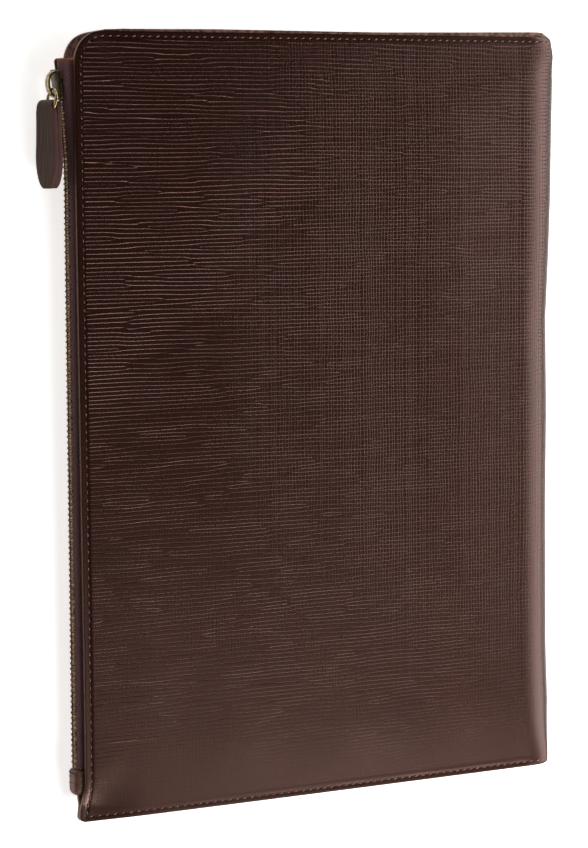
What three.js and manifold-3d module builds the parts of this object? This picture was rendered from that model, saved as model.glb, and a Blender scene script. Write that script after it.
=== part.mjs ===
// Slim document folder: one sheet of leather folded round its long right edge, sewn along the top and the
// bottom, and closed by a metal zip along the left edge. It lies on its back.
// Millimetres. X runs from the zip to the fold, Y from the bottom seam to the top seam, Z out of the front.
// The origin is on the flat of the back wall, level with the middle of the sheet.

import * as THREE from 'three';
import { mergeVertices } from 'three/addons/utils/BufferGeometryUtils.js';
import loadManifold from 'manifold-3d';

const wasm = await loadManifold();
wasm.setup();

// Driving dimensions

const FOLDER = { width: 240, height: 340, leather: 1.8, seam: 5 };
const DEPTH = { atZip: 12.8, atFold: 8.6, seamLift: 4, crownPower: 1.5 };
const CORNER = { topLeft: 13, bottomLeft: 4, topRight: 3, bottomRight: 2 };
const CLEARANCE = 0.3;

// How far from a sewn seam the walls reach their full depth, close to the zip and away from it
const RISE = { atZip: 6, bottom: 30, top: 52, blend: 60 };

// The top seam starts to the right of the rounded corner, which stays open above the zip. The bottom seam
// begins higher up at the zip, under the zip's end.
const TOP_SEAM = { open: 8, sewn: 30 };
const BOTTOM_SEAM = { atZip: 10, sewn: 16 };

// The fold: how far the front and the back wall curve over, on the seams and in the full part
const FOLD = { frontAtSeam: 2.6, frontFull: 13, backAtSeam: 2.4, backFull: 5, noseHeight: 0.45 };

// The fold's edge pulls in between the seams
const FOLD_EDGE = [
  { y: -170, pullIn: 0 },
  { y: -140, pullIn: 0.1 },
  { y: -115, pullIn: 1.2 },
  { y: -50, pullIn: 1.9 },
  { y: 40, pullIn: 2.3 },
  { y: 70, pullIn: 0.6 },
  { y: 95, pullIn: -0.3 },
  { y: 150, pullIn: -1.2 },
  { y: 170, pullIn: 0 },
];

// The back wall's top edge stands above the front's, from a start beside the rounded corner to the fold
const LIP = { start: 14, end: 0.6, root: 0.8 };
const LIP_EDGE = [
  { across: 0, rise: 0.7 },
  { across: 0.03, rise: 1.0 },
  { across: 0.25, rise: 1.4 },
  { across: 0.6, rise: 1.1 },
  { across: 0.8, rise: 1.7 },
  { across: 0.975, rise: 2.3 },
  { across: 0.99, rise: 1.5 },
  { across: 1, rise: 0.4 },
];

// The zip is drawn about its own middle line: x from the leather's zip edge, z from half the depth
const TAPE = {
  thickness: 0.8, underLeather: 8, bendRadius: 0.9, bendSteps: 4, bottom: -146.8, top: 157, steps: 24,
};
const CHAIN = {
  face: 2.1, thickness: 2.6, halfWidth: 2.6, bar: 0.8, past: 0.9, bottom: -146.2, top: 148.6,
};
const TOOTH = { pitch: 2.4, height: 0.95, firstFront: 0.72, firstBack: 1.92 };

// The unsewn top end of the zip leans out of the opening
const LEAN = { from: 100, reach: 4, at: 157 };

// The slider's two plates, the post between them and the cap that carries the ring. Soldered pieces run into
// each other by the joint.
const SLIDER = {
  bottom: 141, top: 154, plate: 1.1, halfTop: 4.7, halfBottom: 3.9, halfInside: 3, chamfer: 1.4, joint: 0.4,
};
const FLANGE = { bottom: 141, top: 150 };
const POST = { bottom: 149.4, top: 153, halfWidth: 1.2 };
const CAP = { bottom: 141.8, top: 153.6, rise: 4, halfWidth: 2.2, sides: 12 };
const CAP_HOLE = { y: 146, rise: 2.2, radius: 1.45, sides: 12 };

const RING = { radius: 4.85, wire: 0.65, sides: 6, steps: 16 };
const PULL = {
  thickness: 4.8, width: 15, top: 141, end: 103.4, endLength: 9, endSteps: 10, outside: 10, foldSteps: 8,
};

// Half the width of the pull tab, from its neck in the ring down to its straight sides
const PULL_SIDE = [
  { y: 141, halfWidth: 3.7 },
  { y: 139.8, halfWidth: 5.1 },
  { y: 136.6, halfWidth: 6.9 },
  { y: 117, halfWidth: 7.5 },
];

const END_TAB = { top: -147.2, bottom: -158.6, thickness: 2.8, width: 7.6, outside: 3.1, steps: 8 };

const COLOUR = { leather: '#3b2320', tape: '#2b191d', brass: '#8a744a', slider: '#4b3f2c' };

// Places worked out from the sizes

const ZIP_EDGE = -FOLDER.width / 2;
const FOLD_SIDE = FOLDER.width / 2;
const TOP = FOLDER.height / 2;
const BOTTOM = -TOP;
const SEAM_FRONT = DEPTH.seamLift + 2 * FOLDER.leather;
const CHAIN_X = CHAIN.thickness / 2 - CHAIN.face;
const QUARTER_TURN = Math.PI / 2;
const MERGE_DISTANCE = 1e-4;

const { clamp, lerp, smoothstep } = THREE.MathUtils;

// Booleans

function toSolid(geometry) {
  const bare = geometry.clone();
  for (const name of Object.keys(bare.attributes)) {
    if (name !== 'position') bare.deleteAttribute(name);
  }
  const merged = mergeVertices(bare, MERGE_DISTANCE);
  const corners = merged.index.array;
  const kept = [];
  for (let t = 0; t < corners.length; t += 3) {
    const [a, b, c] = corners.slice(t, t + 3);
    if (a !== b && b !== c && c !== a) kept.push(a, b, c);
  }
  return new wasm.Manifold(new wasm.Mesh({
    numProp: 3,
    vertProperties: new Float32Array(merged.attributes.position.array),
    triVerts: new Uint32Array(kept),
  }));
}

function toGeometry(solid) {
  const mesh = solid.getMesh();
  const geometry = new THREE.BufferGeometry();
  geometry.setAttribute('position', new THREE.BufferAttribute(mesh.vertProperties, 3));
  geometry.setIndex(new THREE.BufferAttribute(mesh.triVerts, 1));
  geometry.computeVertexNormals();
  return geometry;
}

// A closed body between two grids of points, upper[column][row] and lower[column][row], where columns run
// along X and rows along Y
function bodyBetween(upper, lower) {
  const columns = upper.length;
  const rows = upper[0].length;
  const points = [];
  const triangles = [];
  for (const grid of [upper, lower]) {
    for (const column of grid) points.push(...column);
  }
  const at = (layer, column, row) => (layer * columns + column) * rows + row;
  const quad = (a, b, c, d) => triangles.push(a, b, c, a, c, d);
  for (let i = 0; i + 1 < columns; i += 1) {
    for (let j = 0; j + 1 < rows; j += 1) {
      quad(at(0, i, j), at(0, i + 1, j), at(0, i + 1, j + 1), at(0, i, j + 1));
      quad(at(1, i, j), at(1, i, j + 1), at(1, i + 1, j + 1), at(1, i + 1, j));
    }
    quad(at(1, i, 0), at(1, i + 1, 0), at(0, i + 1, 0), at(0, i, 0));
    quad(at(0, i, rows - 1), at(0, i + 1, rows - 1), at(1, i + 1, rows - 1), at(1, i, rows - 1));
  }
  for (let j = 0; j + 1 < rows; j += 1) {
    quad(at(0, 0, j), at(0, 0, j + 1), at(1, 0, j + 1), at(1, 0, j));
    quad(at(1, columns - 1, j), at(1, columns - 1, j + 1), at(0, columns - 1, j + 1), at(0, columns - 1, j));
  }
  const geometry = new THREE.BufferGeometry().setFromPoints(points);
  geometry.setIndex(triangles);
  return geometry;
}

// Extrusions of flat outlines

// Outline points are [x, z], and the solid runs along Y from one level to another
function alongY(points, from, to, steps = 1) {
  const shape = new THREE.Shape(points.map(([x, z]) => new THREE.Vector2(x, z)));
  const geometry = new THREE.ExtrudeGeometry(shape, { depth: to - from, steps, bevelEnabled: false });
  return geometry.rotateX(QUARTER_TURN).translate(0, to, 0);
}

// Outline points are [y, z], and the solid runs along X from one place to another
function alongX(points, from, to) {
  const shape = new THREE.Shape(points.map(([y, z]) => new THREE.Vector2(y, z)));
  const geometry = new THREE.ExtrudeGeometry(shape, { depth: to - from, bevelEnabled: false });
  return geometry.rotateX(QUARTER_TURN).rotateZ(QUARTER_TURN).translate(from, 0, 0);
}

// Outline points are [x, y], and the solid runs along Z from one height to another
function alongZ(points, from, to) {
  const shape = new THREE.Shape(points.map(([x, y]) => new THREE.Vector2(x, y)));
  return new THREE.ExtrudeGeometry(shape, { depth: to - from, bevelEnabled: false }).translate(0, 0, from);
}

// Points of an arc about a centre, from one angle to another in degrees
function arc(centre, radius, from, to, steps) {
  return Array.from({ length: steps + 1 }, (_, k) => {
    const angle = THREE.MathUtils.degToRad(lerp(from, to, k / steps));
    return [centre[0] + radius * Math.cos(angle), centre[1] + radius * Math.sin(angle)];
  });
}

// The leather sheet

function tableValue(rows, column, y) {
  const next = rows.findIndex((row) => row.y >= y);
  if (next <= 0) return rows[Math.max(next, 0)][column];
  const low = rows[next - 1];
  const high = rows[next];
  return lerp(low[column], high[column], (y - low.y) / (high.y - low.y));
}

// Set-back of a rounded corner at a distance from the edge that it rounds
function cornerSetBack(radius, fromEdge) {
  if (fromEdge >= radius) return 0;
  return radius - Math.sqrt(radius ** 2 - (radius - Math.max(fromEdge, 0)) ** 2);
}

function zipEdge(y) {
  return ZIP_EDGE + cornerSetBack(CORNER.topLeft, TOP - y) + cornerSetBack(CORNER.bottomLeft, y - BOTTOM);
}

function foldEdge(y) {
  const corners = cornerSetBack(CORNER.topRight, TOP - y) + cornerSetBack(CORNER.bottomRight, y - BOTTOM);
  return FOLD_SIDE - tableValue(FOLD_EDGE, 'pullIn', y) - corners;
}

// The line that the top seam is sewn along, above the edge itself at the open corner
function topSeam(x) {
  const closed = smoothstep(x, ZIP_EDGE + TOP_SEAM.open, ZIP_EDGE + TOP_SEAM.sewn);
  return lerp(TOP + RISE.atZip, TOP - FOLDER.seam, closed);
}

function bottomSeam(x) {
  const away = smoothstep(x, ZIP_EDGE, ZIP_EDGE + BOTTOM_SEAM.sewn);
  return BOTTOM + lerp(BOTTOM_SEAM.atZip, FOLDER.seam, away);
}

// 0 on a seam, where the walls meet, and 1 where the folder has its full depth
function fullness(x, y) {
  const away = smoothstep(x, ZIP_EDGE, ZIP_EDGE + RISE.blend);
  const below = clamp((topSeam(x) - y) / lerp(RISE.atZip, RISE.top, away), 0, 1);
  const above = clamp((y - bottomSeam(x)) / lerp(RISE.atZip, RISE.bottom, away), 0, 1);
  return Math.sin(QUARTER_TURN * below) * Math.sin(QUARTER_TURN * above);
}

function crown(x) {
  const across = clamp((x - ZIP_EDGE) / (FOLDER.width - FOLD.frontFull), 0, 1);
  return lerp(DEPTH.atZip, DEPTH.atFold, across ** DEPTH.crownPower);
}

const frontHeight = (x, y) => lerp(SEAM_FRONT, crown(x), fullness(x, y));
const backHeight = (x, y) => lerp(DEPTH.seamLift, 0, fullness(x, y));

// Fractions of the way from the zip edge to the fold, and of the quarter turn round it. One wide cell in the
// middle keeps a large flat face on the back.
const ACROSS = [0, 0.02, 0.045, 0.07, 0.1, 0.16, 0.24, 0.72, 0.86, 1];
const ROUND = [0.2, 0.4, 0.6, 0.8, 1];

// A wall's points along one row, set in from the outside of the leather by a given amount. Level gives the
// row's y at each x.
function wallRow(level, side, inset, leftEdge) {
  const height = side === 'front' ? frontHeight : backHeight;
  const inward = side === 'front' ? -inset : inset;
  const y = level(FOLD_SIDE - FOLD.frontFull);
  const full = fullness(FOLD_SIDE - FOLD.frontFull, y);
  const reach = side === 'front'
    ? lerp(FOLD.frontAtSeam, FOLD.frontFull, full)
    : lerp(FOLD.backAtSeam, FOLD.backFull, full);
  const turn = foldEdge(y) - reach;
  const nose = lerp(backHeight(turn, y), frontHeight(turn, y), FOLD.noseHeight);
  const flat = ACROSS.map((across) => {
    const x = lerp(leftEdge(y), turn, across);
    return new THREE.Vector3(x, level(x), height(x, level(x)) + inward);
  });
  const round = ROUND.map((part) => {
    const angle = QUARTER_TURN * part;
    const x = turn + (reach - inset) * Math.sin(angle);
    const z = lerp(nose, height(turn, y) + inward, Math.cos(angle));
    return new THREE.Vector3(x, y, z);
  });
  return [...flat, ...round];
}

// Rows to columns, as bodyBetween takes them
function gridOf(levels, side, inset, leftEdge) {
  const rows = levels.map((level) => wallRow(level, side, inset, leftEdge));
  return rows[0].map((_, column) => rows.map((row) => row[column]));
}

// Rows of points of the outside, along Y, and of the hollow, as parts of the way between its seams. Both are
// closer together towards the seams.
const OUTSIDE_ROWS = [
  -170, -169, -167.8, -166.5, -165, -163, -161, -159.5, -157, -154, -146, -135, -112, -80, -40,
  40, 68, 92, 113, 128, 142, 152, 158, 160.5, 163, 165, 167, 168.5, 169.5, 170,
];
const INSIDE_PARTS = [
  0.003, 0.01, 0.02, 0.035, 0.06, 0.09, 0.17, 0.27, 0.38,
  0.71, 0.78, 0.84, 0.89, 0.93, 0.96, 0.98, 0.992, 0.998,
];

function outerBody() {
  const levels = OUTSIDE_ROWS.map((y) => () => y);
  return toSolid(bodyBetween(gridOf(levels, 'front', 0, zipEdge), gridOf(levels, 'back', 0, zipEdge)));
}

// The hollow runs out past the zip edge, and at the open corner past the top edge
function hollow() {
  const levels = INSIDE_PARTS.map((part) => (x) => lerp(bottomSeam(x), topSeam(x), part));
  const beyondZip = () => ZIP_EDGE - FOLDER.seam;
  const { leather } = FOLDER;
  return toSolid(bodyBetween(
    gridOf(levels, 'front', leather, beyondZip), gridOf(levels, 'back', leather, beyondZip)));
}

// The strip of back wall that shows above the front wall's top edge
function backLip() {
  const start = ZIP_EDGE + LIP.start;
  const end = FOLD_SIDE - LIP.end;
  const column = ({ across, rise }, thickness) => {
    const x = lerp(start, end, across);
    const z = backHeight(x, TOP) + thickness;
    return [new THREE.Vector3(x, TOP - LIP.root, z), new THREE.Vector3(x, TOP + rise, z)];
  };
  const outside = LIP_EDGE.map((place) => column(place, 0));
  const inside = LIP_EDGE.map((place) => column(place, FOLDER.leather));
  return toSolid(bodyBetween(inside, outside));
}

function leatherShell() {
  return toGeometry(outerBody().subtract(hollow()).add(backLip()));
}

// The zip

function leanAt(y) {
  return LEAN.reach * clamp((y - LEAN.from) / (LEAN.at - LEAN.from), 0, 1) ** 2;
}

// Moves the unsewn top end of the zip outwards, less and less from a loose place to a held one further in
function leanOut(geometry, loose, held) {
  const places = geometry.attributes.position;
  for (let k = 0; k < places.count; k += 1) {
    const x = places.getX(k);
    const share = 1 - smoothstep(x, loose, held);
    places.setX(k, x - leanAt(places.getY(k)) * share);
  }
  return geometry;
}

// What the front half of the zip has above its middle line, the back half has below it
const onSide = (side, points) => points.map(([a, z]) => [a, side === 'front' ? z : -z]);

// Section of a tape: flat under the leather, then bent over to the teeth
function zipTape(side) {
  const outside = DEPTH.atZip / 2 - FOLDER.leather - CLEARANCE;
  const inside = outside - TAPE.thickness;
  const end = CHAIN.halfWidth + CLEARANCE;
  const half = TAPE.thickness / 2;
  const bend = [CHAIN_X + TAPE.bendRadius, outside - half - TAPE.bendRadius];
  const section = [
    [TAPE.underLeather, inside],
    [TAPE.underLeather, outside],
    ...arc(bend, TAPE.bendRadius + half, 90, 180, TAPE.bendSteps),
    [CHAIN_X - half, end],
    [CHAIN_X + half, end],
    ...arc(bend, TAPE.bendRadius - half, 180, 90, TAPE.bendSteps),
  ];
  const strip = alongY(onSide(side, section), TAPE.bottom, TAPE.top, TAPE.steps);
  return toGeometry(toSolid(leanOut(strip, CHAIN_X + TAPE.thickness, TAPE.underLeather)));
}

// One row of teeth joined by a bar along the tape, the back row half a pitch above the front row
function zipTeeth(side) {
  const { thickness, halfWidth, bar, past, bottom, top } = CHAIN;
  const outer = CHAIN_X - thickness / 2;
  const inner = CHAIN_X + thickness / 2;
  const root = halfWidth - bar;
  const leanWhole = (geometry) => toSolid(leanOut(geometry, inner, FOLDER.width));
  const section = [[outer, root], [outer, halfWidth], [inner, halfWidth], [inner, root]];
  const pieces = [leanWhole(alongY(onSide(side, section), bottom, top, TAPE.steps))];
  const first = bottom + (side === 'front' ? TOOTH.firstFront : TOOTH.firstBack);
  for (let y = first; y + TOOTH.height < top; y += TOOTH.pitch) {
    const over = y + TOOTH.height;
    const outline = [[y, root + bar / 2], [y, -past], [over, -past], [over, root + bar / 2]];
    pieces.push(leanWhole(alongX(onSide(side, outline), outer, inner)));
  }
  return toGeometry(wasm.Manifold.union(pieces));
}

// The slider, with x from the chain's middle and minus outwards

const SLIDER_INSIDE = CHAIN.thickness / 2 + CLEARANCE;
const SLIDER_FACE = -SLIDER_INSIDE - SLIDER.plate;

function sliderPlate(from, to, halfBottom, halfTop) {
  const { bottom, top, chamfer } = SLIDER;
  const middle = (bottom + top) / 2;
  const side = [
    [bottom, halfBottom], [middle, halfBottom], [top - chamfer, halfTop], [top, halfTop - chamfer],
  ];
  const otherSide = side.map(([y, z]) => [y, -z]).reverse();
  return toSolid(alongX([...side, ...otherSide], from, to));
}

// The lip of the outer plate that keeps one row of teeth in, on the side that the sign says
function sliderFlange(sign) {
  const inner = sign * (CHAIN.halfWidth + CLEARANCE);
  const outer = sign * SLIDER.halfBottom;
  const outline = [[FLANGE.bottom, inner], [FLANGE.top, inner], [FLANGE.top, outer], [FLANGE.bottom, outer]];
  return toSolid(alongX(outline, -SLIDER_INSIDE - SLIDER.joint, -TAPE.thickness / 2 - CLEARANCE));
}

function sliderPost() {
  const { bottom, top, halfWidth } = POST;
  const middle = (bottom + top) / 2;
  const outline = [[bottom, 0], [middle, -halfWidth], [top, 0], [middle, halfWidth]];
  const reach = SLIDER_INSIDE + SLIDER.joint;
  return toSolid(alongX(outline, -reach, reach));
}

// Half an oval seen from the side, with the ring's hole through it
function sliderCap() {
  const { bottom, top, rise, halfWidth, sides } = CAP;
  const middle = (bottom + top) / 2;
  const halfLength = (top - bottom) / 2;
  const unitDome = arc([0, 0], 1, 90, 270, sides);
  const dome = unitDome.map(([x, y]) => [SLIDER_FACE + rise * x, middle + halfLength * y]);
  const root = SLIDER_FACE + SLIDER.joint;
  const cap = toSolid(alongZ([...dome, [root, bottom], [root, top]], -halfWidth, halfWidth));
  const drill = new THREE.CylinderGeometry(CAP_HOLE.radius, CAP_HOLE.radius, 4 * halfWidth, CAP_HOLE.sides);
  drill.rotateX(QUARTER_TURN).translate(SLIDER_FACE - CAP_HOLE.rise, CAP_HOLE.y, 0);
  return cap.subtract(toSolid(drill));
}

function zipSlider() {
  const outerPlate = sliderPlate(SLIDER_FACE, -SLIDER_INSIDE, SLIDER.halfBottom, SLIDER.halfTop);
  const innerPlate = sliderPlate(
    SLIDER_INSIDE, SLIDER_INSIDE + SLIDER.plate, SLIDER.halfInside, SLIDER.halfInside);
  const pieces = [innerPlate, sliderPost(), sliderCap(), sliderFlange(-1), sliderFlange(1)];
  return toGeometry(pieces.reduce((body, next) => body.add(next), outerPlate));
}

// The leather tab at the lower end of the zip, with a rounded end
function zipEndTab() {
  const half = END_TAB.width / 2;
  const round = arc([END_TAB.bottom + half, 0], half, 90, 270, END_TAB.steps);
  const outline = [[END_TAB.top, -half], [END_TAB.top, half], ...round];
  return toGeometry(toSolid(alongX(outline, -END_TAB.outside, END_TAB.thickness - END_TAB.outside)));
}

// The ring and the pull

function ringOf(wire) {
  const { radius, sides, steps } = RING;
  return new THREE.TorusGeometry(radius, wire, sides, steps).rotateY(QUARTER_TURN);
}

// The tongue's rounded free end, in [y, z]
function pullEnd() {
  const { end, endLength, endSteps, width } = PULL;
  return arc([0, 0], 1, 0, 180, endSteps).map(([z, y]) => [end + endLength * (1 - y), width / 2 * z]);
}

// Two layers of leather, one strip folded over the ring, which lies in a groove between them
function pullTab(ringPlace) {
  const { thickness, width, top, end, foldSteps } = PULL;
  const half = thickness / 2;
  const side = PULL_SIDE.map(({ y, halfWidth }) => [y, halfWidth]);
  const otherSide = side.map(([y, z]) => [y, -z]).reverse();
  const tongue = toSolid(alongX([...side, ...pullEnd(), ...otherSide], -half, half));
  const fold = arc([0, top - half], half, 0, 180, foldSteps);
  const profile = toSolid(alongZ([...fold, [-half, end], [half, end]], -width, width));
  const groove = toSolid(ringOf(RING.wire + CLEARANCE).applyMatrix4(ringPlace));
  return toGeometry(tongue.intersect(profile).subtract(groove));
}

// Assembly

function piece(name, geometry, colour, roughness, metalness) {
  const material = new THREE.MeshStandardMaterial({ color: colour, roughness, metalness });
  const mesh = new THREE.Mesh(geometry, material);
  mesh.name = name;
  return mesh;
}

const folder = new THREE.Group();
folder.add(piece('leather_shell', leatherShell(), COLOUR.leather, 0.5, 0));

const zip = new THREE.Group();
zip.position.set(ZIP_EDGE, 0, DEPTH.atZip / 2);
folder.add(zip);
for (const side of ['front', 'back']) {
  zip.add(piece(`zip_tape_${side}`, zipTape(side), COLOUR.tape, 0.9, 0));
  zip.add(piece(`zip_teeth_${side}`, zipTeeth(side), COLOUR.brass, 0.4, 1));
}
zip.add(piece('zip_end_tab', zipEndTab(), COLOUR.leather, 0.5, 0));

const sliderMiddle = (SLIDER.bottom + SLIDER.top) / 2;
const slider = piece('zip_slider', zipSlider().translate(0, -sliderMiddle, 0), COLOUR.slider, 0.4, 1);
slider.position.set(CHAIN_X - leanAt(sliderMiddle), sliderMiddle, 0);
slider.rotation.z = Math.atan2(leanAt(SLIDER.top) - leanAt(SLIDER.bottom), SLIDER.top - SLIDER.bottom);
zip.add(slider);

// The pull stands on its long edge, level with the back wall, and the ring leans from the cap to it
const hole = new THREE.Vector3(SLIDER_FACE - CAP_HOLE.rise, CAP_HOLE.y - sliderMiddle, 0);
hole.applyEuler(slider.rotation).add(slider.position);
const pullPlace = new THREE.Vector3(-PULL.outside, 0, (PULL.width - DEPTH.atZip) / 2);
const ring = piece('pull_ring', ringOf(RING.wire), COLOUR.brass, 0.35, 1);
ring.position.set((hole.x + pullPlace.x) / 2, hole.y + CLEARANCE - RING.radius, pullPlace.z / 2);
ring.rotation.z = Math.atan2(pullPlace.x - hole.x, 2 * RING.radius);
ring.updateMatrix();
zip.add(ring);

const ringFromPull = ring.matrix.clone().setPosition(ring.position.clone().sub(pullPlace));
const pull = piece('pull_tab', pullTab(ringFromPull), COLOUR.leather, 0.5, 0);
pull.position.copy(pullPlace);
zip.add(pull);

export default folder;
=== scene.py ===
# %% [markdown]
# # A slim leather document folder
#
# One sheet of dark brown leather is folded round its right edge, sewn along the top and the bottom, and
# closed by a metal zip down the left edge. It lies on its back on a pale studio floor. This script gives
# each its surface.

# %% Load the frame
import math

import bmesh
import bpy
from mathutils import Matrix, Vector


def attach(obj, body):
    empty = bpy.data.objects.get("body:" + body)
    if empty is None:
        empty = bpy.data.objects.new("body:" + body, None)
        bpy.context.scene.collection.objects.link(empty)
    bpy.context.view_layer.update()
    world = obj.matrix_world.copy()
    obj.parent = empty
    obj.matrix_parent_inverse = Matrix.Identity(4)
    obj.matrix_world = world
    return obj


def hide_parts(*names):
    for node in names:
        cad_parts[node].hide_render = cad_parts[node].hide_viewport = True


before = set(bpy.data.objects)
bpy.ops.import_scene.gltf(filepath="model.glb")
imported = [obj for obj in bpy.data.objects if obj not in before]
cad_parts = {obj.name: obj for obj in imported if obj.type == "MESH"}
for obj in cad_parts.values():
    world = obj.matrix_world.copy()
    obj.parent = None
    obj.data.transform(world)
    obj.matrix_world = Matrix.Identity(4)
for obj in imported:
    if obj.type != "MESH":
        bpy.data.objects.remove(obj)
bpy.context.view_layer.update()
MM = 0.001
print("CAD nodes:", sorted(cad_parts))

# %% [markdown]
# ## Camera
#
# The photograph looks at the front from the zip's side and slightly from the top. A long lens keeps the edges
# nearly parallel. The place and the directions were fitted to the folder's four corners, so the camera is
# written down as a place, a right-hand direction and a viewing direction rather than aimed at a target.

# %% Camera
CAMERA_PLACE = Vector((-583.92, 122.27, 1124.35)) * MM
CAMERA_RIGHT = Vector((0.89067, -0.00559, 0.45461))
CAMERA_AHEAD = Vector((0.45190, -0.09880, -0.88658))
FOCAL_PX = 2831.1
IMAGE_HEIGHT_PX = 848
SENSOR_MM = 36.0
CLIP_M = {"start": 0.05, "end": 30.0}

camera_data = bpy.data.cameras.new("photo_camera")
camera_data.sensor_fit = "AUTO"
camera_data.sensor_width = SENSOR_MM
camera_data.lens = FOCAL_PX / IMAGE_HEIGHT_PX * SENSOR_MM
camera_data.clip_start = CLIP_M["start"]
camera_data.clip_end = CLIP_M["end"]
camera = bpy.data.objects.new("photo_camera", camera_data)
bpy.context.scene.collection.objects.link(camera)
camera_up = CAMERA_RIGHT.cross(CAMERA_AHEAD).normalized()
turned = Matrix((CAMERA_RIGHT, camera_up, -CAMERA_AHEAD)).transposed()
camera.matrix_world = Matrix.Translation(CAMERA_PLACE) @ turned.to_4x4()
bpy.context.scene.camera = camera
print(f"lens {camera_data.lens:.1f} mm")

# %% [markdown]
# ## Helpers for materials
#
# Colours are written as the hex values one reads off a screen and turned to the linear values that shaders
# work in. One function adds a node: it takes the node's inputs as values or as sockets to link.

# %% Colour and node helpers
# sockets of a Mix node for colours, which have the same names as its sockets for numbers
MIX_A = 6
MIX_B = 7
MIX_RESULT = 2


def linear(hex_colour):
    """The sRGB formula: linear red, green and blue of a hex value, and an alpha of 1."""
    parts = [int(hex_colour[k : k + 2], 16) / 255 for k in (1, 3, 5)]
    return tuple(p / 12.92 if p <= 0.04045 else ((p + 0.055) / 1.055) ** 2.4 for p in parts) + (1.0,)


def add_node(tree, kind, inputs=None, **settings):
    """A new node with its settings, and its inputs as values or as sockets to link."""
    made = tree.nodes.new(kind)
    for name, value in settings.items():
        setattr(made, name, value)
    for socket, value in (inputs or {}).items():
        if isinstance(value, bpy.types.NodeSocket):
            tree.links.new(value, made.inputs[socket])
        else:
            made.inputs[socket].default_value = value
    return made


def new_material(name):
    made = bpy.data.materials.new(name)
    made.use_nodes = True
    shader = made.node_tree.nodes["Principled BSDF"]
    return made, made.node_tree, shader


bpy.context.scene.view_settings.view_transform = "Standard"
print("helpers ready")

# %% [markdown]
# ## Floor and light
#
# The studio floor is a plain pale sheet. It glows a little, so that it comes out bright without strong lamps.
# Dark leather shows mostly what it mirrors, so the lights are placed by thinking of the reflections. A dim
# key box leaves a soft veil at the bottom of the front. A low box below the picture's lower edge catches the
# walls of the main creases, and a dim strip on the right those of the upright ones. A strip low on the right
# draws the line down the fold. Two fills lift the top edge and the zip. The rest of the front mirrors a dim
# part of the room, which keeps it dark.

# %% Floor
FLOOR_SIDE_M = 8.0
FLOOR_BELOW_MM = 0.3
FLOOR_GLOW = 0.75
FLOOR_SQUARES = 8
FLOOR_ROUGHNESS = 0.9
floor_bm = bmesh.new()
bmesh.ops.create_grid(
    floor_bm, x_segments=FLOOR_SQUARES, y_segments=FLOOR_SQUARES, size=FLOOR_SIDE_M / 2
)
floor_mesh = bpy.data.meshes.new("studio_floor")
floor_bm.to_mesh(floor_mesh)
floor_bm.free()
floor_mesh.transform(Matrix.Translation((0, 0, -FLOOR_BELOW_MM * MM)))
floor = bpy.data.objects.new("studio_floor", floor_mesh)
bpy.context.scene.collection.objects.link(floor)
floor_paper, floor_tree, floor_shader = new_material("matt_studio_paper")
floor_shader.inputs["Base Color"].default_value = linear("#f6f5f3")
floor_shader.inputs["Roughness"].default_value = FLOOR_ROUGHNESS
floor_shader.inputs["Emission Color"].default_value = linear("#fffdfb")
floor_shader.inputs["Emission Strength"].default_value = FLOOR_GLOW
floor_mesh.materials.append(floor_paper)
print("floor", FLOOR_SIDE_M, "m")

# %% Lights
# direction the light comes from, distance in metres, width and height in metres, power in watts
LIGHTS = {
    "key_soft_box": ((0.44, -0.42, 0.79), 1.1, 0.3, 0.6, 1.15),
    "low_soft_box": ((0.30, -0.75, 0.51), 0.76, 0.5, 0.2, 5.4),
    "fold_strip": ((0.94, 0.10, 0.40), 0.45, 0.8, 0.19, 2.9),
    "overhead_fill": ((-0.40, 0.35, 0.85), 1.6, 1.6, 1.6, 2.0),
    "top_fill": ((-0.10, 0.93, 0.34), 0.9, 0.9, 0.3, 1.5),
    "net_strip": ((0.80, -0.09, 0.59), 1.0, 0.55, 0.25, 0.34),
}
AIM = Vector((0.0, 0.0, 0.006))
WORLD_LIGHT = 0.03

for name, (direction, distance, width, height, watts) in LIGHTS.items():
    light_data = bpy.data.lights.new(name, "AREA")
    light_data.shape = "RECTANGLE"
    light_data.size = width
    light_data.size_y = height
    light_data.energy = watts
    light = bpy.data.objects.new(name, light_data)
    bpy.context.scene.collection.objects.link(light)
    towards = Vector(direction).normalized()
    light.location = AIM + towards * distance
    light.rotation_mode = "QUATERNION"
    light.rotation_quaternion = towards.to_track_quat("Z", "Y")

world = bpy.data.worlds.new("dim_studio")
world.use_nodes = True
world.node_tree.nodes["Background"].inputs["Color"].default_value = linear("#ffffff")
world.node_tree.nodes["Background"].inputs["Strength"].default_value = WORLD_LIGHT
bpy.context.scene.world = world
print("lights", sorted(LIGHTS))

# %% [markdown]
# ## The form of the leather sheet
#
# The folder lies on its back: the back wall is flat on the floor, and both walls rise or sink to meet in the
# sewn seams at the top and the bottom. At the zip the seams drop a little and the lower corner flares out. On
# the right the sheet turns round a soft fold, and on the left its two edges stay apart for the zip. A cloth
# simulation could find such a form, but stiff leather keeps the form it was sewn to, so functions give the
# height of each wall at any place, in millimetres.

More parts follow.
